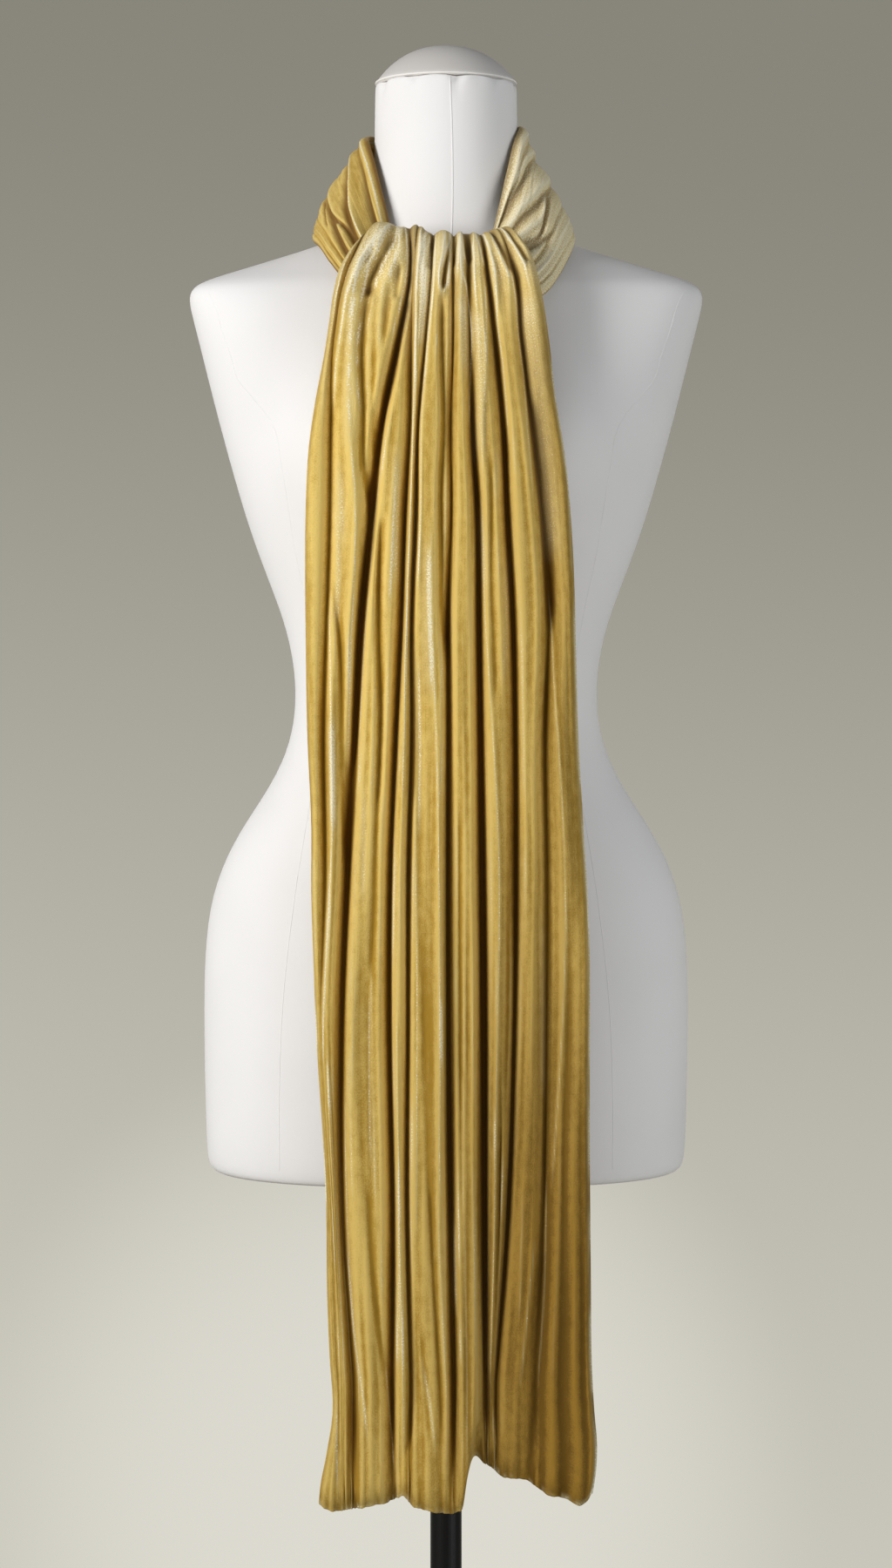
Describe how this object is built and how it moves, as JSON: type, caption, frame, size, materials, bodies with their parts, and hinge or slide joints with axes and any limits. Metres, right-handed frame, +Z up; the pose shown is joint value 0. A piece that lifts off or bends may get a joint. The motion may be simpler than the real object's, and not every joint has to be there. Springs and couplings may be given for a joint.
{
  "type": "velvet scarf on a dress form stand",
  "caption": "Long pleated velvet scarf tied once over at the neck of a limbless dress form on a pole and a round base.",
  "frame": {"origin": "middle of the base plate's underside", "axes": "+X right as seen from the front, -Y the front that the scarf hangs down, +Z up along the pole"},
  "size_m": [0.4, 0.4, 1.5638],
  "materials": {
    "velvet_gold": "crushed pleated velvet with a pale sheen on its folds",
    "form_cover": "smooth matt white cover",
    "cap_cover": "matt off-white cover",
    "board_cover": "matt pale grey cover over board",
    "stand_black": "satin black paint"
  },
  "bodies": {
    "root": {"front_fall": "velvet_gold", "neck_left": "velvet_gold", "neck_right": "velvet_gold", "crossing": "velvet_gold", "under_fall": "velvet_gold", "form_torso": "form_cover", "form_cap": "cap_cover", "form_board": "board_cover", "pole_socket": "stand_black", "pole": "stand_black", "pole_foot": "stand_black", "base_plate": "stand_black"}
  },
  "joints": []
}
